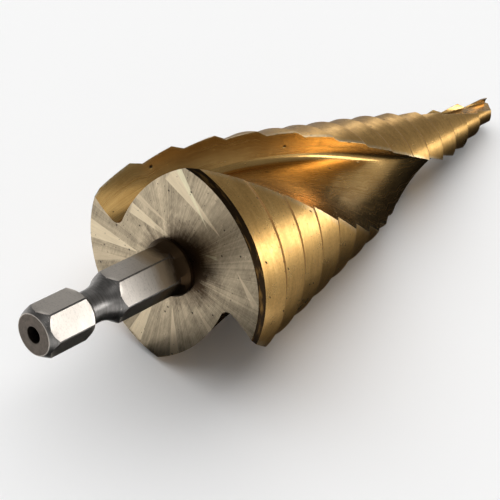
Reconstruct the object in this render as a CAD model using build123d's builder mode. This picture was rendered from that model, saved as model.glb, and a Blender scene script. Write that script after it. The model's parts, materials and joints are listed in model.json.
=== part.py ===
"""Step drill, 4 to 32 mm in 15 steps: two helical flutes, 1/4 inch hexagonal quick-change shank.

The tool is one machined piece. It is built upright and then laid down as it comes to rest: on
the edge of a heel behind, and on one cutting corner and the next step's rim in front. Heights are
measured along the tool's axis from the rear face of the body, the shank below zero and the
point above. Angles turn about that axis from the first cutting edge at the rear face, and grow
towards the point as the right-hand flutes do.
"""

import os
from math import acos, atan2, cos, degrees, hypot, radians, sin, tan

from build123d import *

# Stepped body
step_count = 15
largest_diameter = 32.0
smallest_diameter = 4.0
first_step_length = 5.14
step_pitch = 5.07
ramp_length = 1.35  # conical front of each step
pilot_length = 6.55
rear_chamfer_width = 0.35
rear_chamfer_length = 1.0

# Flutes, with the section's sizes given at the rear face of a body of this diameter
flute_count = 2
flute_body_diameter = 32.0
lead_length_at_rear = 138.5  # along the axis, for one full turn
lead_length_at_point = 105.0
core_radius_at_rear = 9.95
core_radius_at_point = 1.1
rake_hook = 1.45  # how far the hollow cutting face lies behind its radial line
rake_middle_radius = 14.2
rake_middle_hook = 0.95
root_rise = 1.55  # of the rounded root, from the core to the cutting face
heel_radius = 24.0  # the curve that rises from the core to the next land
heel_start_at_rear = 2.6  # direction of that curve's normal at the core
heel_start_at_point = 27.0
section_count = 12
section_overrun = 1.5  # of the flutes' cutter past both ends of the body
rim_radius = 22.0  # where the cutter's section closes, clear outside the lands
rim_lead = 4.0
rim_bulge = 1.1

# Ground point
point_angle = 160.0
lip_clearance = 45.0

# Shank
shank_length = 24.5
hex_across_flats = 6.35
hex_corner_diameter = 7.2
end_face_diameter = 5.74
end_chamfer_length = 1.2
centre_hole_diameter = 2.26
centre_hole_depth = 4.0
centre_hole_tip_angle = 118.0
neck_diameter = 4.6
neck_start = 8.35  # from the shank's end
neck_length = 1.5
shoulder_radius = 3.2  # at the top of the groove's steep side
shoulder_length = 0.9
shoulder_chamfer_length = 0.4
groove_rise_length = 3.1  # from the neck up to the hexagon, on the body's side
collar_diameter = 8.3
collar_length = 0.5
root_flare_length = 1.3
flat_count = 6
flat_wheel_radius = 3.0  # of the wheel that grinds the flats, seen where they run out
flat_wheel_rise = 0.15  # above the collar
flat_end_gap = 2.85  # from the rear face to where the flats start to rise
flats_turn = 9.3  # from the first cutting edge to the nearest flat
cutter_overrun = 1.0

# Contacts of the lying tool: one cutting corner, the next step's rim and the heel across the flute
resting_flute = 1
corner_step = 4
rim_step = 5
heel_sample_count = 48
settling_rounds = 8

largest_radius = largest_diameter / 2
last_step = step_count - 1
radius_drop = (largest_radius - smallest_diameter / 2) / last_step


def step_radius(step):
    """Radius of a step's cylinder, counted from the largest."""
    return largest_radius - step * radius_drop


def step_front(step):
    """Height at which a step's cylinder ends."""
    if step == last_step:
        return step_front(last_step - 1) + pilot_length
    return first_step_length + step * step_pitch


pilot_front = step_front(last_step)
pilot_radius = step_radius(last_step)
lip_slope = 1 / tan(radians(point_angle / 2))
flank_slope = tan(radians(lip_clearance))
point_height = pilot_front + pilot_radius * lip_slope

# The steps' front corners lie on a cone, which scales the flutes' section.
section_growth = largest_diameter / flute_body_diameter
cone_slope = radius_drop / step_pitch
cone_radius_at_rear = largest_radius + first_step_length * cone_slope
heel_curve_radius = heel_radius * section_growth


def cone_scale(height):
    """Size of the flutes' section against the one that is given."""
    return section_growth * (1 - height * cone_slope / cone_radius_at_rear)


def core_radius(height):
    """Radius of the web that the flutes leave, a cone of its own."""
    at_rear = core_radius_at_rear * section_growth
    return at_rear - height * (at_rear - core_radius_at_point) / pilot_front


def edge_turn(flute, height):
    """Angle of one flute's cutting edge, from leads that change evenly along the body."""
    rate_at_rear = 360 / lead_length_at_rear
    rate_at_point = 360 / lead_length_at_point
    turn = height * (rate_at_rear + (rate_at_point - rate_at_rear) * height / pilot_front / 2)
    return turn + flute * 360 / flute_count


def polar(radius, angle):
    """Point in a section, from its radius and angle."""
    return (radius * cos(radians(angle)), radius * sin(radians(angle)))


def heel_start(height):
    """Direction of the heel curve's normal where it leaves the core."""
    return heel_start_at_rear + (heel_start_at_point - heel_start_at_rear) * height / pilot_front


def heel_centre(height):
    """Centre of the heel's curve in a section whose cutting edge lies along x."""
    back = polar(heel_curve_radius, heel_start(height))
    return (core_radius(height) - back[0], -back[1])


def heel_turn(height, radius):
    """How far ahead of the cutting edge the heel's curve reaches a radius."""
    centre = heel_centre(height)
    reach = hypot(*centre)
    opening = acos((reach**2 + radius**2 - heel_curve_radius**2) / (2 * reach * radius))
    return degrees(atan2(centre[1], centre[0]) - opening) % 360


def side_plane(turn):
    """Plane through the axis: radius along its x, height along its y."""
    turned = Plane.XY.rotated((0, 0, turn))
    return Plane(origin=turned.origin, x_dir=turned.x_dir, z_dir=-turned.y_dir)


with BuildPart() as upright_drill:
    # Turned blank: shank, groove, collar and steps in one revolved outline
    shank_end = -shank_length
    end_radius = end_face_diameter / 2
    corner_radius = hex_corner_diameter / 2
    hole_radius = centre_hole_diameter / 2
    hole_bottom = shank_end + centre_hole_depth
    hole_tip = hole_bottom + hole_radius / tan(radians(centre_hole_tip_angle / 2))
    neck_radius = neck_diameter / 2
    neck_bottom = shank_end + neck_start
    neck_top = neck_bottom + neck_length
    shoulder = neck_bottom - shoulder_length
    groove_end = neck_top + groove_rise_length
    collar_radius = collar_diameter / 2
    with BuildSketch(side_plane(0)):
        with BuildLine():
            Polyline(
                (0, hole_tip),
                (hole_radius, hole_bottom),
                (hole_radius, shank_end),
                (end_radius, shank_end),
                (corner_radius, shank_end + end_chamfer_length),
                (corner_radius, shoulder - shoulder_chamfer_length),
                (shoulder_radius, shoulder),
                (neck_radius, neck_bottom),
                (neck_radius, neck_top),
            )
            TangentArc((neck_radius, neck_top), (corner_radius, groove_end), tangent=(0, 1))
            Polyline(
                (corner_radius, groove_end),
                (corner_radius, -collar_length - root_flare_length),
                (collar_radius, -collar_length),
                (collar_radius, 0),
                (largest_radius - rear_chamfer_width, 0),
                (largest_radius, rear_chamfer_length),
            )
            outline = [(largest_radius, rear_chamfer_length)]
            for step in range(last_step):
                outline.append((step_radius(step), step_front(step)))
                outline.append((step_radius(step + 1), step_front(step) + ramp_length))
            outline.append((pilot_radius, point_height))
            outline.append((0, point_height))
            outline.append((0, hole_tip))
            Polyline(*outline)
        make_face()
    revolve(axis=Axis.Z)

    # Six ground flats, each rising to the collar along the wheel's rim
    flat_distance = hex_across_flats / 2
    flat_rise = collar_radius - flat_distance + flat_wheel_rise
    flat_end_run = (flat_wheel_radius**2 - (flat_wheel_radius - flat_rise) ** 2) ** 0.5
    flat_start = (flat_distance, -flat_end_gap)
    flat_end = (flat_distance + flat_rise, flat_end_run - flat_end_gap)
    cutter_end = shank_end - cutter_overrun
    for flat in range(flat_count):
        with BuildSketch(side_plane(flats_turn + flat * 360 / flat_count)):
            with BuildLine():
                Line((flat_distance, cutter_end), flat_start)
                TangentArc(flat_start, flat_end, tangent=(0, 1))
                Polyline(flat_end, (flat_end[0], cutter_end), (flat_distance, cutter_end))
            make_face()
        extrude(amount=corner_radius, both=True, mode=Mode.SUBTRACT)

    # Helical flutes, lofted through turned and scaled sections
    cutter_length = point_height + 2 * section_overrun
    cutter_heights = []
    for section in range(section_count + 1):
        cutter_heights.append(section * cutter_length / section_count - section_overrun)
    for flute in range(flute_count):
        for height in cutter_heights:
            scale = cone_scale(height)
            rim = rim_radius * scale
            edge_end = (rim, rim_lead * scale)
            rake_middle = (rake_middle_radius * scale, -rake_middle_hook * scale)
            core = (core_radius(height), 0)
            root = (core[0] + root_rise * scale, -rake_hook * scale)
            start = heel_start(height)
            centre = heel_centre(height)
            heel_end = polar(rim, heel_turn(height, rim))
            sweep = degrees(atan2(heel_end[1] - centre[1], heel_end[0] - centre[0])) - start
            rim_top = polar(rim_bulge * rim, heel_turn(height, rim) / 2)
            with BuildSketch(Plane.XY.offset(height).rotated((0, 0, edge_turn(flute, height)))):
                with BuildLine():
                    ThreePointArc(edge_end, rake_middle, root)
                    TangentArc(core, root, tangent=polar(1, start - 90))
                    CenterArc(centre, heel_curve_radius, start, sweep)
                    ThreePointArc(heel_end, rim_top, edge_end)
                make_face()
        loft(mode=Mode.SUBTRACT)

    # Two flanks ground at the point, meeting in the chisel edge
    ridge_turn = edge_turn(0, pilot_front) + degrees(atan2(lip_slope, flank_slope))
    reach = 2 * pilot_radius
    roof_low = point_height - reach * hypot(lip_slope, flank_slope)
    roof_high = point_height + reach
    with BuildSketch(side_plane(ridge_turn - 90)):
        with BuildLine():
            Polyline(
                (0, point_height),
                (reach, roof_low),
                (reach, roof_high),
                (-reach, roof_high),
                (-reach, roof_low),
                close=True,
            )
        make_face()
    extrude(amount=reach, both=True, mode=Mode.SUBTRACT)


def corner_near(radius, angle, height):
    """The built corner nearest to a place on the body."""
    place = Vector(*polar(radius, angle), height)
    return min(
        (Vector(*corner) for corner in upright_drill.part.vertices()),
        key=lambda corner: (corner - place).length,
    )


def rim_point(step, turn):
    """Point on a step's front rim."""
    return Vector(*polar(step_radius(step), turn), step_front(step))


def heel_point(height):
    """Where the heel across the resting flute meets the largest step."""
    turn = edge_turn(resting_flute, height) + heel_turn(height, largest_radius)
    return Vector(*polar(largest_radius, turn), height)


corner_front = step_front(corner_step)
corner_contact = corner_near(
    step_radius(corner_step), edge_turn(resting_flute, corner_front), corner_front
)
heel_points = []
for sample in range(heel_sample_count + 1):
    heel_run = (first_step_length - rear_chamfer_length) * sample / heel_sample_count
    heel_points.append(heel_point(rear_chamfer_length + heel_run))


def direction_into_tool(rim_contact, heel_contact):
    """Normal of the plane through all three contacts."""
    normal = (rim_contact - corner_contact).cross(heel_contact - corner_contact).normalized()
    return -normal if normal.dot(corner_contact) > 0 else normal


def lowest_heel(normal):
    """How far the heel's edge stays above a plane under the cutting corner."""
    return min(normal.dot(point - corner_contact) for point in heel_points)


# The tool settles until its rim's lowest point, its corner and its heel share one plane.
rim_turn = edge_turn(resting_flute, step_front(rim_step))
for settling in range(settling_rounds):
    rim_contact = rim_point(rim_step, rim_turn)
    directions = [direction_into_tool(rim_contact, point) for point in heel_points]
    into_tool = max(directions, key=lowest_heel)
    rim_turn = degrees(atan2(-into_tool.Y, -into_tool.X))

# Rest plane under the tool, its x along the tool and its z into the tool
along_tool = Vector(0, 0, 1).cross(into_tool).cross(into_tool)
rest_plane = Plane(origin=corner_contact, x_dir=-along_tool, z_dir=into_tool)
laid_down = rest_plane.location.inverse()
reach_box = upright_drill.part.moved(laid_down).bounding_box()
to_centre = Pos(-reach_box.center().X, -reach_box.center().Y, -reach_box.min.Z)

with BuildPart() as step_drill:
    with Locations(to_centre * laid_down):
        add(upright_drill.part)

step_drill.part.label = "step_drill"
os.makedirs("parts", exist_ok=True)
export_step(step_drill.part, "parts/step_drill.step")
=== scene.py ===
"""Step drill: a fluted, gold-coated body on a bare hexagonal shank, lying in a plain studio.

The tool is drawn in its own axes, in metres: z runs along it from the rear face of the body to
the point, the shank is below zero, and angles turn from the first cutting edge at the rear face.
"""

import json
import math

import bmesh
import bpy
from bpy.props import FloatProperty, FloatVectorProperty, IntProperty, PointerProperty
from mathutils import Matrix, Vector, noise
from mathutils.geometry import delaunay_2d_cdt


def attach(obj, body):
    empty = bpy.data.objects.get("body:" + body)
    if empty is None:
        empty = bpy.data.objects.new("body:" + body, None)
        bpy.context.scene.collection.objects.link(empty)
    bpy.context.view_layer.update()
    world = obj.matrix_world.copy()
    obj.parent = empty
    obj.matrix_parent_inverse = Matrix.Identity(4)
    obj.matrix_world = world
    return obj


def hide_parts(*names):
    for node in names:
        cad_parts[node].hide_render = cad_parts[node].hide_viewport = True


bl_info = {
    "name": "Step Drill",
    "version": (1, 0, 0),
    "blender": (4, 5, 0),
    "location": "3D View > Sidebar > Step Drill",
    "description": "Draws a fluted step drill on a hexagonal shank, and a studio for it",
    "category": "Add Mesh",
}

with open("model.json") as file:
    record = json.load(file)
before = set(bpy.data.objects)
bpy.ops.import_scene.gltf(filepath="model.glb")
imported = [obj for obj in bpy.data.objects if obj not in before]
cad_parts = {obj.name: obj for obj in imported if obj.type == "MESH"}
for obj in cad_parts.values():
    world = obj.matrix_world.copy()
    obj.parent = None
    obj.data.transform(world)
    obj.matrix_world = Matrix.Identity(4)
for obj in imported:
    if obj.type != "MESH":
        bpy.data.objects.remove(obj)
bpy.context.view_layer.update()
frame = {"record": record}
shank_mount = next(m for m in frame["record"]["mounts"] if m["name"] == "hex_shank")

MM = 0.001
FULL_TURN = 360

# Flutes and point, with the flute's section at the rear face; it shrinks with the steps' cone
FLUTE_COUNT = 2
LIP_CLEARANCE = 45.0
RAKE_HOOK = 1.45 * MM
RAKE_MIDDLE_RADIUS = 14.2 * MM
RAKE_MIDDLE_HOOK = 0.95 * MM
ROOT_RISE = 1.55 * MM
HEEL_RADIUS = 24.0 * MM
HEEL_START_AT_REAR = 2.6
HEEL_START_AT_POINT = 27.0
RIM_RADIUS = 22.0 * MM
RIM_LEAD = 4.0 * MM

# Shank, with places measured from the rear face
NECK_LENGTH = 1.5 * MM
SHOULDER_RADIUS = 3.2 * MM
SHOULDER_LENGTH = 0.9 * MM
SHOULDER_CHAMFER_LENGTH = 0.4 * MM
GROOVE_RISE_LENGTH = 3.1 * MM
COLLAR_LENGTH = 0.5 * MM
ROOT_FLARE_LENGTH = 1.3 * MM
FLAT_WHEEL_RADIUS = 3.0 * MM
FLAT_WHEEL_RISE = 0.15 * MM
FLAT_END_GAP = 2.85 * MM
FLATS_TURN = 9.3
FLAT_COUNT = 6
CENTRE_HOLE_TIP_ANGLE = 118.0

# Camera over the shank's end
SENSOR_WIDTH = 36
CAMERA_PLACE = (-0.13100016, -0.09993186, 0.15216769)
CAMERA_ANGLES = (47.47660967, -3.37699677, -47.39959556)
CLIP_START = 0.01

# How finely each part of the surface is divided
ROW_SPACING = 0.42 * MM
FINE_SPACING = 0.12 * MM
RAKE_COLUMNS = 14
ROOT_COLUMNS = 14
HEEL_COLUMNS = 30
LAND_COLUMNS = 22
FLAT_COLUMNS = 6
CORNER_COLUMNS = 12
PILOT_ROWS = 26
WELD = 0.002 * MM
SHORTEST_EDGE = 0.0005 * MM
SAME_PLACE_DIGITS = 9  # of a metre, for corners that fall together
JUST_BELOW = 0.000001  # keeps a place within its last span
HOLE_TIP_SHARE = 0.02  # of the hole's radius, where its cone is closed
SHARP_ANGLE = math.radians(10)

# Nicks along the cutting edges, and the most that a narrow step is blunted
NICK_SPACING = 0.9 * MM
NICK_SHIFT = (17.0, 3.0)
NICK_THRESHOLD = 0.32
NICK_LIMIT = 6  # the radius is at least this many nicks deep
HEEL_LIMIT = 12  # and this many blunted heels
EDGE_RUB_AND_GLINT = 1.0  # of the cutting edges, rubbed bright by wear and painted with a highlight
# the heels too are rubbed by wear and painted with a highlight
HEEL_RUB_AND_GLINT = 0.5

# Finish
MICRON = 0.001 * MM
PIT_COLOUR = (0.035, 0.022, 0.012)
GLINT_GOLD = (0.95, 0.84, 0.60)
RUBBED_GREY = (0.60, 0.48, 0.34)
# painted shade: brown round the shank's root, black on the rear chamfer, tan further down the flats
SHADE_BROWN = (0.060, 0.036, 0.018)
SHADE_BLACK = (0.030, 0.018, 0.009)
SHADE_TAN = (0.50, 0.36, 0.20)
END_GREY = (0.17, 0.14, 0.115)
END_DARK = (0.09, 0.075, 0.062)
# painted shade inside the blind hole
HOLE_SHADE = (0.020, 0.018, 0.016)
HOLE_RUST = (0.09, 0.07, 0.055)
# side towards which the painted shade round the shank's root is heavier
SHADED_SIDE = (-0.62, 0.78, 0)
ACROSS = (1, 1, 0)
METAL = 1.0
PIT_FLOOR = 0.3  # of a pit's size, level at the bottom
PIT_CHOICE = 0.01

# Grain of each finish: how many marks fit in a metre along each axis
LAND_RINGS = (260, 260, 7000)
LAND_BANDS = (200, 200, 1500)
LAND_PATCHES = (330, 330, 420)
LAND_SPECKLE = (3600, 3600, 4200)
FLUTE_LINES = (6500, 130, 1)
FLUTE_BANDS = (900, 45, 1)
FLUTE_PATCHES = (180, 180, 180)
FLUTE_SPARKLE = (2600, 2600, 2600)
WEDGE_LINES = (260, 5200, 1)
REAR_SCRATCHES = (3200, 420, 1)
REAR_BLOTCHES = (380, 380, 380)
CHAMFER_PATCHES = (300, 300, 1800)
FLAT_SPECKLE = (3000, 3000, 6000)
FLAT_WAVES = (300, 300, 900)
FLAT_GROOVES = (60, 60, 4200)
TURNED_RINGS = (160, 160, 6500)
TURNED_SMEARS = (700, 700, 700)
TURNED_GLINTS = (2600, 2600, 5200)
END_SMEARS = (1500, 1500, 1500)
END_TURNING = (9000, 1, 1)
HOLE_CRUST = (1800, 1800, 1800)
POINT_LINES = (5000, 700, 700)

# Fans round the shank: how many strokes fit in a turn, roughly
REAR_STROKE_FAN = (42, 42, 1)
REAR_SECTOR_FAN = (4.5, 4.5, 1)

# Pits: spacing, size and the share of places that have one, for small and large ones
LAND_PITS = ((1.2 * MM, 0.08 * MM, 0.22), (4.6 * MM, 0.22 * MM, 0.5))
FLUTE_PITS = ((1.6 * MM, 0.09 * MM, 0.25), (6.3 * MM, 0.30 * MM, 0.45))
REAR_PITS = ((1.3 * MM, 0.10 * MM, 0.3), (3.3 * MM, 0.20 * MM, 0.45))

# Painted shade on the shank towards the body, as heights from the rear face down
TAN_SHADE_HEIGHTS = (-5.2 * MM, -3.4 * MM)
FLAT_SHADE_HEIGHTS = (-2.8 * MM, -0.8 * MM)
TURNED_SHADE_HEIGHTS = (-2.6 * MM, -0.8 * MM)
RUBBED_RIM_RADII = (2.85 * MM, 2.92 * MM)

# Ground wedges: how ragged and how soft their edges are
WEDGE_RAGGED = 0.22 * MM
WEDGE_EDGE = (0.08 * MM, 0.16 * MM)
WEDGE_TIP = 0.5 * MM
WEDGE_END = 0.4 * MM

# Wedges ground into the rear face: tip, wide end, width there (mm) and brightness, which paints the
# light each ground facet catches
REAR_STROKES = (
    ((-5.4, 10.4), (5.4, 12.6), 2.6, 1.0),
    ((-3.4, 9.6), (4.4, 14.2), 1.1, 1.15),
    ((-0.6, 4.2), (9.2, 3.0), 1.8, 1.0),
    ((2.0, 5.6), (12.4, 5.4), 1.4, 0.8),
    ((5.6, -2.4), (14.6, -5.6), 3.0, 1.0),
    ((6.2, -4.4), (13.0, -9.6), 1.8, 0.75),
    ((0.6, -5.0), (1.2, -15.0), 2.4, 1.0),
    ((-2.4, -5.2), (-6.6, -13.6), 2.2, 0.9),
    ((-5.6, -2.2), (-13.8, -5.4), 2.0, 0.75),
    ((-3.4, 5.7), (-5.8, 7.0), 0.5, 1.2),
    ((-9.2, 8.0), (-13.8, 5.6), 1.2, 0.85),
)

# Studio: lamps by bearing, height, width and tallness in degrees, with their brightness
LAMP_DISTANCE = 0.6
SOFTBOXES = (
    ("key_softbox", -56, 13, 38, 14, 5.2),
    ("rear_softbox", 32, 16, 20, 12, 1.2),
    ("top_softbox", -144, 70, 30, 22, 0.6),
)
CEILING_SPREAD = 90
CEILING_ANGLES = (-18, 12, 0)
RING_EDGE_ANGLES = (20, 32)
FLOOR_HEIGHT = -0.0003
PAPER_ROUGHNESS = 0.9

# Cards that only reflections show, standing in for the floor's shade round the tool, darkest
# nearest it: colour, height and corners
DARK_CARD = (0.015, 0.015, 0.015)
GREY_CARD = (0.30, 0.30, 0.30)
SIDE_CORNERS = (
    (-0.012, -0.020),
    (0.13, -0.36),
    (0.6, -0.36),
    (0.6, 0.5),
    (0.16, 0.5),
    (-0.005, 0.015),
)
NEAR_CORNERS = ((-0.022, -0.028), (0.12, -0.030), (0.12, 0.012), (-0.022, 0.012))
SHANK_CORNERS = ((-0.075, -0.030), (-0.022, -0.030), (-0.022, 0.003), (-0.075, 0.003))
FLAG_CARDS = (
    ("side_card", GREY_CARD, -0.0002, SIDE_CORNERS),
    ("near_card", DARK_CARD, -0.0001, NEAR_CORNERS),
    ("shank_card", DARK_CARD, -0.0001, SHANK_CORNERS),
)


def turned_point(radius, angle):
    """Point in a section, from its radius and its angle in degrees."""
    turn = math.radians(angle)
    return Vector((radius * math.cos(turn), radius * math.sin(turn)))


def circle_through(first, second, third):
    """Centre of the circle through three points of a section."""
    to_second = second - first
    to_third = third - first
    cross = 2 * (to_second.x * to_third.y - to_second.y * to_third.x)
    second_square = to_second.length_squared
    third_square = to_third.length_squared
    across = (to_third.y * second_square - to_second.y * third_square) / cross
    along = (to_second.x * third_square - to_third.x * second_square) / cross
    return first + Vector((across, along))


def arc_points(centre, start, end, count):
    """Points of the shorter arc from start to end, both included."""
    radius = (start - centre).length
    first = math.degrees(math.atan2(start.y - centre.y, start.x - centre.x))
    last = math.degrees(math.atan2(end.y - centre.y, end.x - centre.x))
    sweep = (last - first + FULL_TURN / 2) % FULL_TURN - FULL_TURN / 2
    return [centre + turned_point(radius, first + sweep * i / count) for i in range(count + 1)]


def spaced(start, end, spacing):
    """Values from start to end, both included, about that far apart."""
    count = max(1, round(abs(end - start) / spacing))
    return [start + (end - start) * i / count for i in range(count + 1)]


def length_setting(name, description, millimetres):
    """A length that a user may change, in millimetres here."""
    default = millimetres * MM
    return FloatProperty(name=name, description=description, default=default, unit="LENGTH")


def colour_setting(name, description, default):
    """A colour that a user may change."""
    return FloatVectorProperty(
        name=name, description=description, default=default, subtype="COLOR", size=3, min=0, max=1
    )


class StepDrillSizes(bpy.types.PropertyGroup):
    """Sizes of the tool that a user would change."""

    step_count: IntProperty(name="Steps", description="Number of diameters", default=15, min=2)
    largest_diameter: length_setting("Largest diameter", "Across the last step", 32)
    smallest_diameter: length_setting("Smallest diameter", "Across the pilot", 4)
    first_step_length: length_setting(
        "Largest step length", "From the rear face to the front of the largest step", 5.14
    )
    step_pitch: length_setting("Step pitch", "From the front of one step to the next", 5.07)
    ramp_length: length_setting("Ramp length", "Length of the cone between two steps", 1.35)
    pilot_length: length_setting("Pilot length", "Length of the smallest step", 6.55)
    rear_chamfer_width: length_setting(
        "Rear chamfer width", "Drop of the chamfer behind the largest step", 0.35
    )
    rear_chamfer_length: length_setting(
        "Rear chamfer length", "Length of the chamfer behind the largest step", 1.0
    )
    lead_at_rear: length_setting(
        "Lead at the rear", "Length in which the flutes turn once, at the rear face", 138.5
    )
    lead_at_point: length_setting(
        "Lead at the point", "Length in which the flutes turn once, at the point", 105
    )
    core_radius_at_rear: length_setting(
        "Web radius at the rear", "Half the web between the flutes, at the rear face", 9.95
    )
    core_radius_at_point: length_setting(
        "Web radius at the point", "Half the web between the flutes, at the point", 1.1
    )
    point_angle: FloatProperty(
        name="Point angle",
        description="Angle between the two lips",
        default=math.radians(160),
        subtype="ANGLE",
    )
    shank_length: length_setting("Shank length", "From the rear face to the shank's end", 24.5)
    hex_across_flats: length_setting(
        "Hexagon across flats", "Distance between two opposite flats", 6.35
    )
    hex_corner_diameter: length_setting(
        "Hexagon corner diameter", "The hexagon's corners are turned to this", 7.2
    )
    end_face_diameter: length_setting("End face diameter", "Across the flat end of the shank", 5.74)
    end_chamfer_length: length_setting(
        "End chamfer length", "Length of the cone at the shank's end", 1.2
    )
    centre_hole_diameter: length_setting(
        "Centre hole diameter", "Across the blind hole in the shank's end", 2.26
    )
    centre_hole_depth: length_setting(
        "Centre hole depth", "Depth of the blind hole without its cone", 4
    )
    neck_diameter: length_setting("Neck diameter", "Across the bottom of the holder's groove", 4.6)
    neck_start: length_setting(
        "Neck place", "From the shank's end to the bottom of the groove", 8.35
    )
    collar_diameter: length_setting("Collar diameter", "Across the shank's root", 8.3)
    edge_break: length_setting("Edge break", "Width to which handling has blunted the edges", 0.05)
    nick_depth: length_setting(
        "Nick depth", "Depth of the worst nicks along the cutting edges", 0.22
    )
    resting_turn: FloatProperty(
        name="Resting turn",
        description="Turn of the tool about its axis as it lies",
        default=math.radians(11.5034),
        subtype="ANGLE",
    )


class StepDrillLook(bpy.types.PropertyGroup):
    """Colours of the tool's finishes."""

    coating: colour_setting("Coating", "Nitride coating on the steps", (0.82, 0.51, 0.18))
    coating_shade: colour_setting(
        "Coating shade", "Where the coating lies thin or has been rubbed", (0.46, 0.25, 0.07)
    )
    flute_coating: colour_setting(
        "Flute coating", "Nitride coating inside the flutes", (0.76, 0.49, 0.18)
    )
    bare_steel: colour_setting("Bare steel", "Ground steel of the rear face", (0.54, 0.44, 0.30))
    bright_steel: colour_setting("Bright steel", "Ground flats of the hexagon", (0.74, 0.68, 0.61))
    turned_steel: colour_setting(
        "Turned steel", "Dull turned surfaces of the shank", (0.20, 0.19, 0.18)
    )


class StepDrillStudio(bpy.types.PropertyGroup):
    """Studio around the tool."""

    floor_size: FloatProperty(
        name="Floor size", description="Width of the floor", default=30.0, unit="LENGTH"
    )
    floor_colour: colour_setting("Floor colour", "Pale floor under the tool", (0.90, 0.90, 0.90))
    ring_colour: colour_setting(
        "Horizon colour", "Pale backdrop all round the floor", (0.45, 0.45, 0.45)
    )
    ceiling_colour: colour_setting("Ceiling colour", "Dim air overhead", (0.19, 0.19, 0.19))
    ceiling_strength: FloatProperty(
        name="Ceiling light", description="Strength of the light from overhead", default=2.7
    )
    softbox_strength: FloatProperty(
        name="Softboxes", description="Strength of the soft lamps against the usual", default=1.0
    )
    lens: FloatProperty(
        name="Lens", description="Focal length on a 36 mm sensor", default=106.088, unit="CAMERA"
    )


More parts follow.
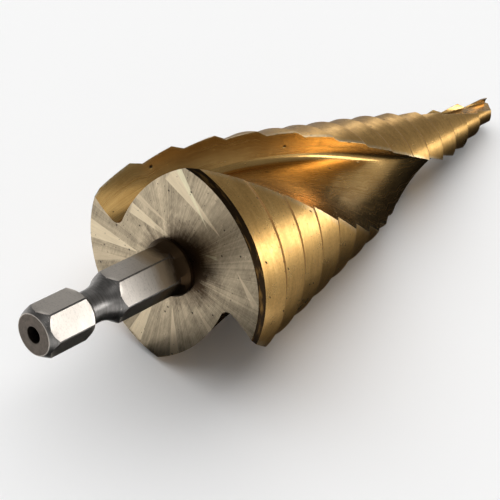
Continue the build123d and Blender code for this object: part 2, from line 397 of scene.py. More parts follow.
class ToolShape:
    """The tool's curves, worked out from its sizes."""

    def __init__(self, sizes):
        self.sizes = sizes
        self.largest_radius = sizes.largest_diameter / 2
        self.last_step = sizes.step_count - 1
        self.radius_drop = (self.largest_radius - sizes.smallest_diameter / 2) / self.last_step
        self.pilot_front = self.step_front(self.last_step)
        self.pilot_radius = self.step_radius(self.last_step)
        self.lip_slope = 1 / math.tan(sizes.point_angle / 2)
        self.flank_slope = math.tan(math.radians(LIP_CLEARANCE))
        self.point_height = self.pilot_front + self.pilot_radius * self.lip_slope
        self.cone_slope = self.radius_drop / sizes.step_pitch
        self.cone_radius = self.largest_radius + sizes.first_step_length * self.cone_slope

    def step_radius(self, step):
        """Radius of a step's cylinder, counted from the largest."""
        return self.largest_radius - step * self.radius_drop

    def step_front(self, step):
        """Height at which a step's cylinder ends."""
        if step == self.last_step:
            return self.step_front(step - 1) + self.sizes.pilot_length
        return self.sizes.first_step_length + step * self.sizes.step_pitch

    def edge_turn(self, flute, height):
        """Angle of one flute's cutting edge."""
        rear_rate = FULL_TURN / self.sizes.lead_at_rear
        point_rate = FULL_TURN / self.sizes.lead_at_point
        growth = (point_rate - rear_rate) * height / self.pilot_front / 2
        return height * (rear_rate + growth) + flute * FULL_TURN / FLUTE_COUNT

    def flute_curves(self, height, radius, edge_break, heel_break):
        """One flute's section, from its cutting edge in to the web and out to the next land.

        The cutting edge lies along x. Returns the rake, root and heel as lists of points.
        """
        scale = 1 - height * self.cone_slope / self.cone_radius
        share = height / self.pilot_front
        core_drop = self.sizes.core_radius_at_rear - self.sizes.core_radius_at_point
        core = Vector((self.sizes.core_radius_at_rear - core_drop * share, 0))
        root = Vector((core.x + ROOT_RISE * scale, -RAKE_HOOK * scale))
        middle = Vector((RAKE_MIDDLE_RADIUS * scale, -RAKE_MIDDLE_HOOK * scale))
        rim = Vector((RIM_RADIUS * scale, RIM_LEAD * scale))
        rake_centre = circle_through(rim, middle, root)
        edge = self.crossing(rake_centre, (rim - rake_centre).length, radius - edge_break, rim)
        rake = arc_points(rake_centre, edge, root, RAKE_COLUMNS)

        start = HEEL_START_AT_REAR + (HEEL_START_AT_POINT - HEEL_START_AT_REAR) * share
        normal = turned_point(1, start)
        chord = root - core
        root_centre = core + normal * chord.length_squared / (2 * chord.dot(normal))
        root_curve = arc_points(root_centre, root, core, ROOT_COLUMNS)

        heel_centre = core - normal * HEEL_RADIUS
        ahead = turned_point(radius, 90)
        heel_end = self.crossing(heel_centre, HEEL_RADIUS, radius - heel_break, ahead)
        heel = arc_points(heel_centre, core, heel_end, HEEL_COLUMNS)
        return rake, root_curve, heel

    @staticmethod
    def crossing(centre, arc_radius, radius, near):
        """Where a curve's circle meets a circle about the axis, on the side of a point."""
        reach = centre.length
        opening = (reach**2 + radius**2 - arc_radius**2) / (2 * reach * radius)
        opening = math.degrees(math.acos(max(-1, min(1, opening))))
        bearing = math.degrees(math.atan2(centre.y, centre.x))
        places = [turned_point(radius, bearing + side * opening) for side in (-1, 1)]
        return min(places, key=lambda place: (place - near).length)

    def nick(self, flute, height):
        """Width of the broken edge at a height, wider at the nicks."""
        place = Vector((height / NICK_SPACING, flute * NICK_SHIFT[0], NICK_SHIFT[1]))
        bite = max(0, noise.noise(place) - NICK_THRESHOLD) / (1 - NICK_THRESHOLD)
        return self.sizes.edge_break + self.sizes.nick_depth * bite

    def section(self, height, radius):
        """Closed outline of the body at a height, as (place, zone, wear and painted glint) for each
        column.
        """
        columns = []
        half = FULL_TURN / FLUTE_COUNT
        heel_break = min(self.sizes.edge_break, radius / HEEL_LIMIT)
        for flute in range(FLUTE_COUNT):
            turn = self.edge_turn(flute, height)
            blunt = min(self.nick(flute, height), radius / NICK_LIMIT)
            next_nick = self.nick((flute + 1) % FLUTE_COUNT, height)
            next_blunt = min(next_nick, radius / NICK_LIMIT)
            rake, root, heel = self.flute_curves(height, radius, blunt, heel_break)
            sharp_edge = self.flute_curves(height, radius, 0, 0)[0][0]
            start = math.degrees(math.atan2(heel[-1].y, heel[-1].x) + heel_break / radius)
            end = half + math.degrees(math.atan2(sharp_edge.y, sharp_edge.x) - next_blunt / radius)
            outline = [(point, "flute", 0.0) for point in rake[:-1] + root[:-1] + heel]
            outline[0] = (outline[0][0], "flute", EDGE_RUB_AND_GLINT)
            outline[-1] = (outline[-1][0], "flute", HEEL_RUB_AND_GLINT)
            for i in range(LAND_COLUMNS + 1):
                angle = start + (end - start) * i / LAND_COLUMNS
                wear_glint = {0: HEEL_RUB_AND_GLINT, LAND_COLUMNS: EDGE_RUB_AND_GLINT}.get(i, 0.0)
                outline.append((turned_point(radius, angle), "land", wear_glint))
            turned = Matrix.Rotation(math.radians(turn), 2)
            for point, zone, wear_glint in outline:
                place = turned @ point
                columns.append((Vector((place.x, place.y, height)), zone, wear_glint))
        return columns

    def roof(self, place):
        """Height of the ground point above a place."""
        ridge = math.radians(self.edge_turn(0, self.pilot_front))
        ridge += math.atan2(self.lip_slope, self.flank_slope)
        aside = abs(place.y * math.cos(ridge) - place.x * math.sin(ridge))
        return self.point_height - aside * math.hypot(self.lip_slope, self.flank_slope)

    def body_rows(self):
        """Heights and radii of the body's rings, from the rear face to the pilot."""
        sizes = self.sizes
        blunt = sizes.edge_break
        rear = self.largest_radius - sizes.rear_chamfer_width
        start = sizes.rear_chamfer_length
        rows = [(0, rear - blunt)]
        for height in spaced(blunt, start, ROW_SPACING):
            rows.append((height, rear + sizes.rear_chamfer_width * height / start))
        for step in range(self.last_step):
            radius = self.step_radius(step)
            front = self.step_front(step)
            rows += [(height, radius) for height in spaced(start, front - blunt, ROW_SPACING)[1:]]
            start = front + sizes.ramp_length
            for height in spaced(front + blunt, start, ROW_SPACING):
                share = (height - front) / sizes.ramp_length
                rows.append((height, radius - self.radius_drop * share))
        return rows

    def pilot_rows(self, start):
        """Rings of the pilot, each column running up to the ground point."""
        heights = spaced(start, self.point_height, FINE_SPACING)
        sections = [self.section(height, self.pilot_radius) for height in heights]
        rows = [[] for _ in range(PILOT_ROWS + 1)]
        for column in range(len(sections[0])):
            track = [section[column][0] for section in sections]
            last = len(track) - 1
            above = (i for i in range(1, last + 1) if track[i].z >= self.roof(track[i]))
            top = next(above, last)
            under = self.roof(track[top - 1]) - track[top - 1].z
            over = track[top].z - self.roof(track[top])
            reach = top - 1 + (under / (under + over) if under + over > 0 else 1)
            for i, row in enumerate(rows):
                at = min(reach * i / PILOT_ROWS, last - JUST_BELOW)
                below = int(at)
                place = track[below].lerp(track[below + 1], at - below)
                row.append((place, sections[0][column][1], sections[0][column][2]))
        return rows

    def flat_distance(self, height):
        """Distance of the hexagon's flats from the axis at a height, or None past them."""
        distance = self.sizes.hex_across_flats / 2
        run = height + FLAT_END_GAP
        if run <= 0:
            return distance
        rise = self.sizes.collar_diameter / 2 - distance + FLAT_WHEEL_RISE
        if run > math.sqrt(FLAT_WHEEL_RADIUS**2 - (FLAT_WHEEL_RADIUS - rise) ** 2):
            return None
        return distance + FLAT_WHEEL_RADIUS - math.sqrt(FLAT_WHEEL_RADIUS**2 - run**2)

    def shank_rows(self):
        """Rings of the shank as (height, radius, zone above), from the hole's tip out."""
        sizes = self.sizes
        blunt = sizes.edge_break
        end = -sizes.shank_length
        hole = sizes.centre_hole_diameter / 2
        hole_bottom = end + sizes.centre_hole_depth
        hole_tip = hole_bottom + hole / math.tan(math.radians(CENTRE_HOLE_TIP_ANGLE / 2))
        face = sizes.end_face_diameter / 2
        corner = sizes.hex_corner_diameter / 2
        neck = sizes.neck_diameter / 2
        neck_bottom = end + sizes.neck_start
        neck_top = neck_bottom + NECK_LENGTH
        shoulder = neck_bottom - SHOULDER_LENGTH
        groove_end = neck_top + GROOVE_RISE_LENGTH
        collar = sizes.collar_diameter / 2
        rise = corner - neck
        bend = (GROOVE_RISE_LENGTH**2 + rise**2) / (2 * rise)

        rows = [(hole_tip, hole * HOLE_TIP_SHARE, "hole")]
        depths = spaced(hole_bottom, end + blunt, ROW_SPACING)
        rows += [(height, hole, "hole") for height in depths]
        radii = spaced(hole + blunt, face - blunt, FINE_SPACING)
        rows += [(end, radius, "end_face") for radius in radii]
        outline = (
            (end + blunt, face + (corner - face) * blunt / sizes.end_chamfer_length, FINE_SPACING),
            (end + sizes.end_chamfer_length, corner, ROW_SPACING),
            (shoulder - SHOULDER_CHAMFER_LENGTH, corner, FINE_SPACING),
            (shoulder, SHOULDER_RADIUS, FINE_SPACING),
            (neck_bottom, neck, ROW_SPACING),
            (neck_top, neck, None),
            (groove_end, corner, ROW_SPACING),
            (-COLLAR_LENGTH - ROOT_FLARE_LENGTH, corner, FINE_SPACING),
            (-COLLAR_LENGTH, collar, FINE_SPACING),
            (0, collar, None),
        )
        for (low, first, spacing), (high, last, _) in zip(outline, outline[1:]):
            for height in spaced(low, high, spacing or FINE_SPACING)[:-1]:
                radius = first + (last - first) * (height - low) / (high - low)
                if low == neck_top:
                    radius = neck + bend - math.sqrt(bend**2 - (height - low) ** 2)
                rows.append((height, radius, "turned"))
        rows.append((0, collar, "turned"))
        return rows

    def shank_ring(self, height, radius):
        """One ring of the shank as (place, on a flat, wear and painted glint) for each column."""
        distance = self.flat_distance(height)
        half_width = 0.0
        if distance is not None and radius > distance:
            half_width = math.degrees(math.acos(distance / radius))
        sector = FULL_TURN / FLAT_COUNT
        ring = []
        for flat in range(FLAT_COUNT):
            middle = FLATS_TURN + flat * sector
            for i in range(FLAT_COLUMNS):
                angle = half_width * (2 * i / FLAT_COLUMNS - 1)
                reach = distance / math.cos(math.radians(angle)) if half_width else radius
                place = turned_point(reach, middle + angle)
                ring.append((Vector((place.x, place.y, height)), True, 0.0))
            for i in range(CORNER_COLUMNS):
                angle = half_width + (sector - 2 * half_width) * i / CORNER_COLUMNS
                place = turned_point(radius, middle + angle)
                ring.append((Vector((place.x, place.y, height)), False, 0.0))
        return ring


class SurfaceMaker:
    """Collects rings of points and turns them into one mesh with zones, wear and painted glint, and
    grain.
    """

    def __init__(self):
        self.mesh = bmesh.new()
        self.wear_glint = self.mesh.verts.layers.float.new("edge_rub_and_glint")
        self.grain = self.mesh.loops.layers.uv.new("grain")

    def ring(self, points, rubbed_glint_levels):
        """Adds a closed ring of vertices."""
        verts = []
        for point, wear_glint in zip(points, rubbed_glint_levels):
            vert = self.mesh.verts.new(point)
            vert[self.wear_glint] = wear_glint
            verts.append(vert)
        return verts

    def face(self, verts, zone, grain=None):
        """Adds one face, unless it has no area."""
        places = {tuple(round(c, SAME_PLACE_DIGITS) for c in vert.co) for vert in verts}
        if len(places) < 3:
            return None
        made = self.mesh.faces.new(verts)
        made.material_index = ZONES.index(zone)
        made.smooth = True
        if grain:
            for loop, place in zip(made.loops, grain):
                loop[self.grain].uv = place
        return made

    def object(self, name, materials, place):
        """Makes the object, welded where its rings meet and laid down in its place."""
        bmesh.ops.remove_doubles(self.mesh, verts=self.mesh.verts, dist=WELD)
        bmesh.ops.dissolve_degenerate(self.mesh, edges=self.mesh.edges, dist=SHORTEST_EDGE)
        bmesh.ops.recalc_face_normals(self.mesh, faces=self.mesh.faces)
        data = bpy.data.meshes.new(name)
        self.mesh.to_mesh(data)
        self.mesh.free()
        data.transform(place)
        data.set_sharp_from_angle(angle=SHARP_ANGLE)
        for material in materials:
            data.materials.append(material)
        piece = bpy.data.objects.new(name, data)
        bpy.context.scene.collection.objects.link(piece)
        return piece


def draw_body(maker, shape):
    """Adds the fluted body and returns its rearmost ring."""
    heights = [height for height, _ in shape.body_rows()]
    sections = [shape.section(height, radius) for height, radius in shape.body_rows()]
    chamfer_end = shape.sizes.rear_chamfer_length
    start = heights[-1]
    pilot = shape.pilot_rows(start)
    sections += pilot[1:]

    across = [0.0]
    base = sections[1]
    for first, second in zip(base, base[1:] + base[:1]):
        across.append(across[-1] + (second[0] - first[0]).length)

    rings = []
    for section in sections:
        rings.append(maker.ring([c[0] for c in section], [c[2] for c in section]))
    count = len(sections[0])
    for i in range(len(rings) - 1):
        for j in range(count):
            k = (j + 1) % count
            zones = {sections[i][j][1], sections[i][k][1]}
            zone = "flute" if zones == {"flute"} else "land"
            if zone == "land" and i < len(heights) - 1 and heights[i + 1] <= chamfer_end + WELD:
                zone = "rear_chamfer"
            corners = [rings[i][j], rings[i][k], rings[i + 1][k], rings[i + 1][j]]
            sides = [across[j], across[j + 1], across[j + 1], across[j]]
            if zone == "flute":
                grain = [(side, corner.co.z) for corner, side in zip(corners, sides)]
            else:
                grain = [(corner.co.z, side) for corner, side in zip(corners, sides)]
            maker.face(corners, zone, grain)
    return rings[0], rings[-1]


def draw_point(maker, shape, ring):
    """Closes the tip with its two ground flanks, which meet in the chisel edge."""
    ridge = math.radians(shape.edge_turn(0, shape.pilot_front))
    ridge += math.atan2(shape.lip_slope, shape.flank_slope)

    def aside(vert):
        return vert.co.y * math.cos(ridge) - vert.co.x * math.sin(ridge)

    def along(vert):
        return vert.co.x * math.cos(ridge) + vert.co.y * math.sin(ridge)

    ends = []
    for side in (1, -1):
        near = [i for i, vert in enumerate(ring) if along(vert) * side > 0]
        ends.append(min(near, key=lambda i: abs(aside(ring[i]))))
    first, last = sorted(ends)
    maker.face(ring[first : last + 1], "point")
    maker.face(ring[last:] + ring[: first + 1], "point")


def draw_shank(maker, shape):
    """Adds the shank and returns its ring at the rear face."""
    rows = shape.shank_rows()
    rings = []
    flats = []
    for height, radius, _ in rows:
        made = shape.shank_ring(height, radius)
        rings.append(maker.ring([c[0] for c in made], [c[2] for c in made]))
        flats.append([c[1] for c in made])
    count = len(rings[0])
    for i in range(len(rings) - 1):
        for j in range(count):
            k = (j + 1) % count
            zone = rows[i][2]
            if zone == "turned" and flats[i][j]:
                zone = "hex_flat"
            corners = [rings[i][j], rings[i][k], rings[i + 1][k], rings[i + 1][j]]
            sides = [j * MM, (j + 1) * MM, (j + 1) * MM, j * MM]
            grain = [(corner.co.z, side) for corner, side in zip(corners, sides)]
            maker.face(corners, zone, grain)
    maker.face(rings[0], "hole")
    return rings[-1]


def draw_rear_face(maker, body_ring, shank_ring):
    """Closes the body behind, round the shank."""
    outer = [vert.co.xy for vert in body_ring]
    inner = []
    verts = list(body_ring)
    for vert in shank_ring:
        if not inner or (vert.co.xy - inner[-1]).length > WELD:
            inner.append(vert.co.xy)
            verts.append(vert)
    edges = [(i, (i + 1) % len(outer)) for i in range(len(outer))]
    edges += [(len(outer) + i, len(outer) + (i + 1) % len(inner)) for i in range(len(inner))]
    places, _, faces, sources, _, _ = delaunay_2d_cdt(outer + inner, edges, [], 0, WELD / 10)
    collar = len(outer)
    for face in faces:
        corners = [verts[sources[i][0]] for i in face]
        if all(sources[i][0] >= collar for i in face):
            continue
        middle = sum((corner.co.xy for corner in corners), Vector((0, 0))) / len(corners)
        if inside(middle, outer):
            maker.face(corners, "rear_face")


def inside(place, outline):
    """Whether a place lies within a closed outline."""
    crossings = 0
    for start, end in zip(outline, outline[1:] + outline[:1]):
        if (start.y > place.y) != (end.y > place.y):
            reach = start.x + (place.y - start.y) / (end.y - start.y) * (end.x - start.x)
            crossings += reach > place.x
    return crossings % 2 == 1


def resting_place(sizes):
    """Where the lying tool's own axes are, from the shank's mount."""
    end = Vector(shank_mount["pos_m"])
    along = -Vector(shank_mount["axis"]).normalized()
    sideways = Vector((0, 0, 1)).cross(along).normalized()
    upwards = along.cross(sideways)
    turn = sizes.resting_turn
    first = sideways * math.cos(turn) + upwards * math.sin(turn)
    second = along.cross(first)
    origin = end + along * sizes.shank_length
    place = Matrix((first, second, along)).transposed().to_4x4()
    place.translation = origin
    return place


def add_node(tree, kind, inputs=None, **settings):
    """Adds a shader node, with its settings, and its inputs set or linked."""
    node = tree.nodes.new("ShaderNode" + kind)
    for name, value in settings.items():
        setattr(node, name, value)
    for name, value in (inputs or {}).items():
        if isinstance(value, bpy.types.NodeSocket):
            tree.links.new(value, node.inputs[name])
        else:
            node.inputs[name].default_value = value
    return node


def new_finish(name, colour, roughness, anisotropy=0.0):
    """A bare metal material, its node tree and its shader."""
    material = bpy.data.materials.new(name)
    material.use_nodes = True
    tree = material.node_tree
    shader = tree.nodes["Principled BSDF"]
    shader.inputs["Base Color"].default_value = (*colour, 1)
    shader.inputs["Metallic"].default_value = METAL
    shader.inputs["Roughness"].default_value = roughness
    shader.inputs["Anisotropic"].default_value = anisotropy
    return material, tree, shader


def dress(tree, shader, colour, roughness=None, relief=(), grained=False):
    """Gives a shader its colour, roughness, relief and grain.

    The relief is a list of (height, depth), each laid over the one before.
    """
    tree.links.new(colour, shader.inputs["Base Color"])
    if roughness is not None:
        tree.links.new(roughness, shader.inputs["Roughness"])
    normal = None
    for height, depth in relief:
        normal = raised(tree, height, depth, normal)
    if normal is not None:
        tree.links.new(normal, shader.inputs["Normal"])
    if grained:
        tangent = add_node(tree, "Tangent", direction_type="UV_MAP", uv_map="grain")
        tree.links.new(tangent.outputs["Tangent"], shader.inputs["Tangent"])


def tool_place(tree):
    """Place on the tool, in its own axes."""
    upright = resting_place(bpy.context.scene.step_drill_sizes).inverted()
    laid = add_node(tree, "TexCoord").outputs["Object"]
    inputs = {"Vector": laid, "Location": upright.translation, "Rotation": upright.to_euler()}
    return add_node(tree, "Mapping", inputs).outputs["Vector"]


def grain_place(tree):
    """Place along and across the grinding lines."""
    return add_node(tree, "UVMap", uv_map="grain").outputs["UV"]


def tool_height(tree, place):
    """Height of a place along the tool."""
    return add_node(tree, "SeparateXYZ", {"Vector": place}).outputs["Z"]


def section_place(tree, place):
    """Place in the tool's section, and its distance from the axis."""
    flat = add_node(tree, "VectorMath", {0: place, 1: ACROSS}, operation="MULTIPLY").outputs[0]
    return flat, add_node(tree, "VectorMath", {0: flat}, operation="LENGTH").outputs["Value"]


def streaks(tree, place, scale, detail=3.0, roughness=0.6, distortion=0.0):
    """Noise drawn out along the axes with a small scale; 0 to 1."""
    mapping = add_node(tree, "Mapping", {"Vector": place, "Scale": scale})
    inputs = {
        "Vector": mapping.outputs["Vector"],
        "Scale": 1.0,
        "Detail": detail,
        "Roughness": roughness,
        "Distortion": distortion,
    }
    return add_node(tree, "TexNoise", inputs).outputs["Fac"]


def between(tree, value, low, high, first=0.0, last=1.0):
    """Spreads a value from low..high over first..last, and stops there."""
    inputs = {"Value": value, "From Min": low, "From Max": high, "To Min": first, "To Max": last}
    return add_node(tree, "MapRange", inputs, clamp=True).outputs["Result"]


def tinted(tree, share, first, last):
    """Colour that goes from the first to the last as the share goes from 0 to 1."""
    colours = [c if isinstance(c, bpy.types.NodeSocket) else (*c, 1) for c in (first, last)]
    inputs = {0: share, 6: colours[0], 7: colours[1]}
    return add_node(tree, "Mix", inputs, data_type="RGBA").outputs[2]


def layered(tree, colour, *layers):
    """Colour with others laid over it, each as (share, colour)."""
    for share, over in layers:
        colour = tinted(tree, share, colour, over)
    return colour


def toned(colour, factor):
    """A lighter or darker colour."""
    return tuple(min(1, factor * part) for part in colour)


def combined(tree, operation, first, second):
    """One arithmetic step on two values."""
    return add_node(tree, "Math", {0: first, 1: second}, operation=operation).outputs[0]


def weighed(tree, *parts):
    """Sum of values, each times its weight."""
    total = None
    for value, weight in parts:
        inputs = {0: value, 1: weight, 2: 0.0 if total is None else total}
        total = add_node(tree, "Math", inputs, operation="MULTIPLY_ADD").outputs[0]
    return total


def pits(tree, place, kinds):
    """Small round pits over a surface, 1 in their middle."""
    total = None
    for spacing, size, share in kinds:
        inputs = {"Vector": place, "Scale": 1 / spacing, "Randomness": 1.0}
        cells = add_node(tree, "TexVoronoi", inputs, voronoi_dimensions="2D")
        distance = cells.outputs["Distance"]
        within = between(tree, distance, size / spacing, PIT_FLOOR * size / spacing)
        red = add_node(tree, "SeparateColor", {"Color": cells.outputs["Color"]}).outputs[0]
        present = between(tree, red, share + PIT_CHOICE, share)
        pit = combined(tree, "MULTIPLY", within, present)
        total = pit if total is None else combined(tree, "MAXIMUM", total, pit)
    return total


def rubbed_glinting_edges(tree, speckle, most):
    """How much an edge is rubbed bright by wear and painted with a highlight, broken up by a
    speckle.
    """
    wear_glint = add_node(tree, "Attribute", attribute_name="edge_rub_and_glint").outputs["Fac"]
    return combined(tree, "MULTIPLY", wear_glint, between(tree, speckle, 0.40, 0.60, 0.1, most))


def raised(tree, height, depth, under=None):
    """Normal of a surface raised by a height of 0 to 1 times the depth, over another relief."""
    inputs = {"Height": height, "Distance": abs(depth), "Strength": 1.0}
    if under is not None:
        inputs["Normal"] = under
    return add_node(tree, "Bump", inputs, invert=depth < 0).outputs["Normal"]


def coated_land(look):
    """Round-ground lands under the coating: rings of fine lines, speckle, patches and pits."""
    material, tree, shader = new_finish("coated_land", look.coating, 0.3, anisotropy=0.5)
    place = tool_place(tree)
    rings = streaks(tree, place, LAND_RINGS, detail=5, roughness=0.75)
    broad = streaks(tree, place, LAND_BANDS, detail=5, roughness=0.7)
    patches = streaks(tree, place, LAND_PATCHES, detail=6, roughness=0.75)
    speckle = streaks(tree, place, LAND_SPECKLE, detail=3, roughness=0.7)
    pitted = pits(tree, grain_place(tree), LAND_PITS)
    tone = weighed(tree, (rings, 0.26), (broad, 0.26), (patches, 0.42), (speckle, 0.30))
    thin = weighed(tree, (speckle, 0.4), (patches, 0.6))
    colour = layered(
        tree,
        look.coating,
        (between(tree, tone, 0.50, 0.78), look.coating_shade),
        (between(tree, thin, 0.57, 0.68, 0.0, 0.35), RUBBED_GREY),
        # painted glints: the speckle's brightest spots, and the edges rubbed by wear with a painted
        # highlight
        (between(tree, speckle, 0.72, 0.78, 0.0, 0.7), GLINT_GOLD),
        (rubbed_glinting_edges(tree, speckle, 0.8), GLINT_GOLD),
        (pitted, PIT_COLOUR),
    )
    relief = (
        (rings, 2.2 * MICRON),
        (broad, 7 * MICRON),
        (speckle, 3 * MICRON),
        (pitted, -30 * MICRON),
    )
    dress(tree, shader, colour, between(tree, patches, 0.3, 0.7, 0.25, 0.37), relief, grained=True)
    return material


def coated_flute(look):
    """Flutes ground along their length, with deeper coating in the hollow."""
    material, tree, shader = new_finish("coated_flute", look.flute_coating, 0.26, anisotropy=0.4)
    place = tool_place(tree)
    grain = grain_place(tree)
    lines = streaks(tree, grain, FLUTE_LINES, detail=5, roughness=0.75)
    bands = streaks(tree, grain, FLUTE_BANDS, detail=5, roughness=0.7)
    patches = streaks(tree, place, FLUTE_PATCHES, detail=5, roughness=0.65)
    sparkle = streaks(tree, place, FLUTE_SPARKLE, detail=2)
    pitted = pits(tree, grain, FLUTE_PITS)
    tone = weighed(tree, (lines, 0.50), (bands, 0.34), (patches, 0.40))
    colour = layered(
        tree,
        look.flute_coating,
        (between(tree, tone, 0.50, 0.76), look.coating_shade),
        # painted glints: the sparkle's brightest spots, and the edges rubbed by wear with a painted
        # highlight
        (between(tree, sparkle, 0.74, 0.80, 0.0, 0.8), GLINT_GOLD),
        (rubbed_glinting_edges(tree, sparkle, 0.9), GLINT_GOLD),
        (pitted, PIT_COLOUR),
    )
    relief = (
        (lines, 1.8 * MICRON),
        (bands, 7 * MICRON),
        (patches, 12 * MICRON),
        (sparkle, 2.5 * MICRON),
        (pitted, -40 * MICRON),
    )
    dress(tree, shader, colour, between(tree, bands, 0.3, 0.7, 0.17, 0.32), relief, grained=True)
    return material


def stroke(tree, place, tip, end, width):
    """A wedge ground from its tip to its wide end: 1 within it, and its own fine lines."""
    tip, end = (Vector(point) * MM for point in (tip, end))
    run = end - tip
    turn = math.atan2(run.y, run.x)
    start = Matrix.Rotation(-turn, 2) @ tip
    inputs = {"Vector": place, "Location": (-start.x, -start.y, 0), "Rotation": (0, 0, -turn)}
    laid = add_node(tree, "Mapping", inputs).outputs["Vector"]
    split = add_node(tree, "SeparateXYZ", {"Vector": laid})
    along, aside = split.outputs["X"], split.outputs["Y"]
    ragged = streaks(tree, laid, WEDGE_LINES, detail=3)
    edge = weighed(tree, (along, width / run.length * MM / 2), (ragged, WEDGE_RAGGED))
    aside = add_node(tree, "Math", {0: aside}, operation="ABSOLUTE").outputs[0]
    mask = between(tree, combined(tree, "SUBTRACT", edge, aside), *WEDGE_EDGE)
    mask = combined(tree, "MULTIPLY", mask, between(tree, along, 0, WEDGE_TIP))
    stop = between(tree, along, run.length + WEDGE_END, run.length)
    return combined(tree, "MULTIPLY", mask, stop), ragged


def ground_rear(look):
    """Rear face, ground by hand in a fan of strokes round the shank, its wedges painted lighter for
    the light their facets catch, with painted shade round its root, heavier on one side.
    """
    material, tree, shader = new_finish("ground_rear_face", look.bare_steel, 0.3)
    place = tool_place(tree)
    flat, reach = section_place(tree, place)
    bearing = add_node(tree, "VectorMath", {0: flat}, operation="NORMALIZE").outputs[0]
    strokes = streaks(tree, bearing, REAR_STROKE_FAN, detail=8, roughness=0.8)
    sectors = streaks(tree, bearing, REAR_SECTOR_FAN, detail=2)
    scratches = streaks(tree, place, REAR_SCRATCHES, detail=4, distortion=1.4)
    blotches = streaks(tree, place, REAR_BLOTCHES, detail=6, roughness=0.75)
    pitted = pits(tree, flat, REAR_PITS)
    tone = weighed(tree, (strokes, 0.46), (scratches, 0.24), (blotches, 0.28), (sectors, 0.32))
    pale, dull = toned(look.bare_steel, 1.30), toned(look.bare_steel, 0.34)
    colour = tinted(tree, between(tree, tone, 0.50, 0.80), pale, dull)
    # ground wedges, painted lighter for the light their facets catch
    for tip, end, width, bright in REAR_STROKES:
        mask, ragged = stroke(tree, flat, tip, end, width)
        light, dark = (toned(look.bare_steel, level * bright) for level in (1.9, 1.1))
        marked = tinted(tree, ragged, light, dark)
        colour = tinted(tree, combined(tree, "MULTIPLY", mask, 0.85), colour, marked)
    # painted shade round the shank's root, darker towards one side and broken up by the grinding
    # marks
    inputs = {0: bearing, 1: SHADED_SIDE}
    lean = add_node(tree, "VectorMath", inputs, operation="DOT_PRODUCT").outputs["Value"]
    lean = between(tree, lean, 0.2, 1.0)
    marks = ((blotches, 0.8), (strokes, 0.6), (sectors, 0.4), (lean, 0.55))
    root_shade = weighed(tree, (reach, -0.15 / MM), *marks)
    root_shade = between(tree, root_shade, -0.06, 0.50)
    colour = layered(tree, colour, (root_shade, SHADE_BROWN), (pitted, PIT_COLOUR))
    relief = ((strokes, 22 * MICRON), (scratches, 5 * MICRON), (pitted, -40 * MICRON))
    dress(tree, shader, colour, between(tree, blotches, 0.3, 0.7, 0.24, 0.40), relief)
    return material


def dark_chamfer(look):
    """Narrow chamfer behind the largest step, painted dark as shade."""
    material, tree, shader = new_finish("dark_rear_chamfer", SHADE_BROWN, 0.5)
    patches = streaks(tree, tool_place(tree), CHAMFER_PATCHES, detail=4)
    share = between(tree, patches, 0.52, 0.95)
    # painted shade: black, with lighter patches of the coating's shade
    colour = tinted(tree, share, SHADE_BLACK, look.coating_shade)
    dress(tree, shader, colour, relief=((patches, 20 * MICRON),))
    return material


def bright_flat(look):
    """Hexagon flats, ground bright across, with painted shade, tan then dark brown, towards the
    body.
    """
    material, tree, shader = new_finish("bright_hex_flat", look.bright_steel, 0.4, anisotropy=0.75)
    place = tool_place(tree)
    speckle = streaks(tree, place, FLAT_SPECKLE, detail=3, roughness=0.7)
    waves = streaks(tree, place, FLAT_WAVES, detail=4)
    grooves = streaks(tree, place, FLAT_GROOVES, detail=3)
    shade_reach = weighed(tree, (tool_height(tree, place), 1.0), (waves, 2.4 * MM))
    tone = weighed(tree, (speckle, 0.7), (grooves, 0.3))
    colour = layered(
        tree,
        look.bright_steel,
        (between(tree, tone, 0.50, 0.78), toned(look.bright_steel, 0.62)),
        # painted shade on the flats: tan, then dark brown towards the body
        (between(tree, shade_reach, *TAN_SHADE_HEIGHTS, 0.0, 0.7), SHADE_TAN),
        (between(tree, shade_reach, *FLAT_SHADE_HEIGHTS), SHADE_BROWN),
    )
    relief = ((speckle, 4 * MICRON), (waves, 8 * MICRON), (grooves, 2 * MICRON))
    dress(tree, shader, colour, between(tree, waves, 0.3, 0.7, 0.37, 0.43), relief, grained=True)
    return material


def dull_turned(look):
    """Turned surfaces of the shank: grey, ringed and dull, with painted glints and painted brown
    shade at the root.
    """
    material, tree, shader = new_finish("dull_turned_steel", look.turned_steel, 0.4, anisotropy=0.4)
    place = tool_place(tree)
    rings = streaks(tree, place, TURNED_RINGS, detail=5, roughness=0.75)
    smears = streaks(tree, place, TURNED_SMEARS, detail=4)
    glints = streaks(tree, place, TURNED_GLINTS, detail=2)
    tone = weighed(tree, (rings, 0.6), (smears, 0.4))
    shade_reach = weighed(tree, (tool_height(tree, place), 1.0), (smears, 1.6 * MM))
    colour = layered(
        tree,
        look.turned_steel,
        (between(tree, tone, 0.40, 0.68), toned(look.turned_steel, 2.0)),
        # painted glints of bright steel where the glint noise is high
        (between(tree, glints, 0.66, 0.74, 0.0, 0.8), look.bright_steel),
        # painted shade: dark brown at the root
        (between(tree, shade_reach, *TURNED_SHADE_HEIGHTS), SHADE_BROWN),
    )
    relief = ((rings, 7 * MICRON), (smears, 10 * MICRON))
    dress(tree, shader, colour, between(tree, rings, 0.3, 0.7, 0.30, 0.46), relief, grained=True)
    return material


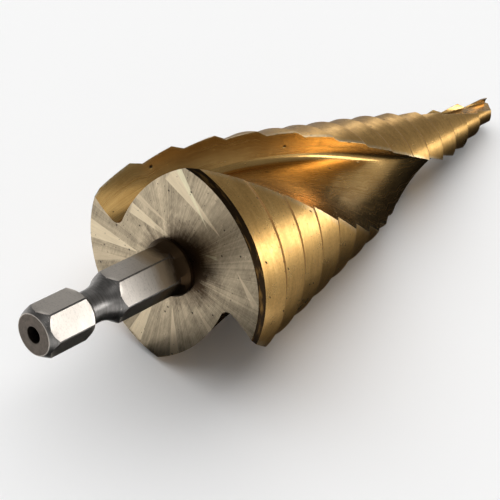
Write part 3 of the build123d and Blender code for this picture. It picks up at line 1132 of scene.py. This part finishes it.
def faced_end(look):
    """Flat end of the shank: dull, and rubbed bright round its rim."""
    material, tree, shader = new_finish("faced_shank_end", look.turned_steel, 0.48)
    place = tool_place(tree)
    _, reach = section_place(tree, place)
    smears = streaks(tree, place, END_SMEARS, detail=5, roughness=0.7)
    outwards = add_node(tree, "CombineXYZ", {"X": reach}).outputs[0]
    turning = streaks(tree, outwards, END_TURNING)
    tone = weighed(tree, (smears, 0.6), (turning, 0.4))
    rim = weighed(tree, (reach, 1.0), (smears, 0.2 * MM))
    colour = layered(
        tree,
        END_GREY,
        (between(tree, tone, 0.38, 0.66), END_DARK),
        (between(tree, rim, *RUBBED_RIM_RADII, 0.0, 0.8), look.bright_steel),
    )
    dress(tree, shader, colour, relief=((smears, 14 * MICRON), (turning, 3 * MICRON)))
    return material


def dark_hole(look):
    """Blind hole, painted near black as the shade inside it, mottled with rust brown."""
    material, tree, shader = new_finish("dark_centre_hole", SHADE_BROWN, 0.6)
    crust = streaks(tree, tool_place(tree), HOLE_CRUST, detail=3)
    dress(tree, shader, tinted(tree, crust, HOLE_SHADE, HOLE_RUST))
    return material


def ground_point(look):
    """Ground flanks of the point, coated."""
    material, tree, shader = new_finish("coated_point", look.coating, 0.3)
    lines = streaks(tree, tool_place(tree), POINT_LINES, detail=3)
    colour = tinted(tree, between(tree, lines, 0.4, 0.7), look.coating, look.coating_shade)
    dress(tree, shader, colour, relief=((lines, 3 * MICRON),))
    return material


FINISHES = {
    "land": coated_land,
    "flute": coated_flute,
    "rear_face": ground_rear,
    "rear_chamfer": dark_chamfer,
    "hex_flat": bright_flat,
    "turned": dull_turned,
    "end_face": faced_end,
    "hole": dark_hole,
    "point": ground_point,
}
ZONES = tuple(FINISHES)


class STEPDRILL_OT_add_tool(bpy.types.Operator):
    """Draw the step drill where it lies, in place of the plain solid"""

    bl_idname = "stepdrill.add_tool"
    bl_label = "Step Drill"

    def execute(self, context):
        sizes = context.scene.step_drill_sizes
        look = context.scene.step_drill_look
        shape = ToolShape(sizes)
        maker = SurfaceMaker()
        body_rear, body_top = draw_body(maker, shape)
        draw_point(maker, shape, body_top)
        shank_root = draw_shank(maker, shape)
        draw_rear_face(maker, body_rear, shank_root)
        finishes = [finish(look) for finish in FINISHES.values()]
        tool = maker.object("fluted_step_drill", finishes, resting_place(sizes))
        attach(tool, "root")
        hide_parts("step_drill")
        return {"FINISHED"}


class STEPDRILL_OT_add_camera(bpy.types.Operator):
    """Set the camera over the shank's end, looking along the tool"""

    bl_idname = "stepdrill.add_camera"
    bl_label = "Camera"

    def execute(self, context):
        data = bpy.data.cameras.new("camera")
        data.sensor_width = SENSOR_WIDTH
        data.lens = context.scene.step_drill_studio.lens
        data.clip_start = CLIP_START
        camera = bpy.data.objects.new("camera", data)
        camera.location = CAMERA_PLACE
        camera.rotation_euler = [math.radians(angle) for angle in CAMERA_ANGLES]
        context.scene.collection.objects.link(camera)
        context.scene.camera = camera
        return {"FINISHED"}


def stage_sheet(name, corners, material):
    """A flat sheet of the studio."""
    data = bpy.data.meshes.new(name)
    data.from_pydata(corners, [], [tuple(range(len(corners)))])
    data.materials.append(material)
    sheet = bpy.data.objects.new(name, data)
    bpy.context.scene.collection.objects.link(sheet)
    return sheet


def paper(name, colour):
    """Matte card or paper of one colour."""
    material = bpy.data.materials.new(name)
    material.use_nodes = True
    shader = material.node_tree.nodes["Principled BSDF"]
    shader.inputs["Base Color"].default_value = (*colour, 1)
    shader.inputs["Roughness"].default_value = PAPER_ROUGHNESS
    shader.inputs["Specular IOR Level"].default_value = 0.0
    return material


def flag_card(name, corners, height, material):
    """A card beside the tool that only its reflections show."""
    card = stage_sheet(name, [(x, y, height) for x, y in corners], material)
    card.visible_camera = False
    card.visible_diffuse = False
    card.visible_shadow = False
    return card


def softbox(name, bearing, height, width, tall, brightness):
    """A soft lamp that faces the tool; its place and size are angles seen from there."""
    data = bpy.data.lights.new(name, "AREA")
    data.shape = "RECTANGLE"
    data.size = 2 * LAMP_DISTANCE * math.tan(math.radians(width / 2))
    data.size_y = 2 * LAMP_DISTANCE * math.tan(math.radians(tall / 2))
    data.energy = brightness * math.pi * data.size * data.size_y
    lamp = bpy.data.objects.new(name, data)
    across = turned_point(math.cos(math.radians(height)), bearing)
    direction = Vector((across.x, across.y, math.sin(math.radians(height))))
    lamp.location = direction * LAMP_DISTANCE
    lamp.rotation_euler = direction.to_track_quat("Z", "Y").to_euler()
    lamp.visible_diffuse = False
    bpy.context.scene.collection.objects.link(lamp)
    return lamp


def studio_air(ring, ceiling):
    """World that is pale round the horizon and dim overhead."""
    world = bpy.data.worlds.new("studio_air")
    world.use_nodes = True
    tree = world.node_tree
    direction = add_node(tree, "TexCoord").outputs["Generated"]
    height = add_node(tree, "SeparateXYZ", {"Vector": direction}).outputs["Z"]
    low, high = (math.sin(math.radians(angle)) for angle in RING_EDGE_ANGLES)
    colour = tinted(tree, between(tree, height, low, high), ring, ceiling)
    tree.links.new(colour, tree.nodes["Background"].inputs["Color"])
    return world


class STEPDRILL_OT_add_studio(bpy.types.Operator):
    """Lay a pale floor and light it softly"""

    bl_idname = "stepdrill.add_studio"
    bl_label = "Studio"

    def execute(self, context):
        studio = context.scene.step_drill_studio
        half = studio.floor_size / 2
        floor_corners = ((-half, -half), (half, -half), (half, half), (-half, half))
        stage_sheet(
            "studio_floor",
            [(x, y, FLOOR_HEIGHT) for x, y in floor_corners],
            paper("pale_paper", studio.floor_colour),
        )
        for name, colour, height, corners in FLAG_CARDS:
            flag_card(name, corners, height, paper(name, colour))
        context.scene.world = studio_air(studio.ring_colour, studio.ceiling_colour)
        for name, bearing, height, width, tall, brightness in SOFTBOXES:
            softbox(name, bearing, height, width, tall, brightness * studio.softbox_strength)
        data = bpy.data.lights.new("ceiling_lamp", "SUN")
        data.energy = studio.ceiling_strength
        data.angle = math.radians(CEILING_SPREAD)
        lamp = bpy.data.objects.new("ceiling_lamp", data)
        lamp.rotation_euler = [math.radians(angle) for angle in CEILING_ANGLES]
        lamp.visible_glossy = False
        context.scene.collection.objects.link(lamp)
        context.scene.view_settings.view_transform = "Standard"
        return {"FINISHED"}


class STEPDRILL_PT_panel(bpy.types.Panel):
    """Buttons for the tool and its studio"""

    bl_label = "Step Drill"
    bl_idname = "STEPDRILL_PT_panel"
    bl_space_type = "VIEW_3D"
    bl_region_type = "UI"
    bl_category = "Step Drill"

    def draw(self, context):
        layout = self.layout
        for operator in OPERATORS:
            layout.operator(operator.bl_idname)
        for group in (
            context.scene.step_drill_sizes,
            context.scene.step_drill_look,
            context.scene.step_drill_studio,
        ):
            box = layout.box()
            for name in group.__annotations__:
                box.prop(group, name)


OPERATORS = (STEPDRILL_OT_add_camera, STEPDRILL_OT_add_tool, STEPDRILL_OT_add_studio)
CLASSES = (StepDrillSizes, StepDrillLook, StepDrillStudio, *OPERATORS, STEPDRILL_PT_panel)


def register():
    for cls in CLASSES:
        bpy.utils.register_class(cls)
    bpy.types.Scene.step_drill_sizes = PointerProperty(type=StepDrillSizes)
    bpy.types.Scene.step_drill_look = PointerProperty(type=StepDrillLook)
    bpy.types.Scene.step_drill_studio = PointerProperty(type=StepDrillStudio)


def unregister():
    del bpy.types.Scene.step_drill_studio
    del bpy.types.Scene.step_drill_look
    del bpy.types.Scene.step_drill_sizes
    for cls in reversed(CLASSES):
        bpy.utils.unregister_class(cls)


def main():
    register()
    bpy.ops.stepdrill.add_camera()
    bpy.ops.stepdrill.add_tool()
    bpy.ops.stepdrill.add_studio()


if __name__ == "__main__":
    main()
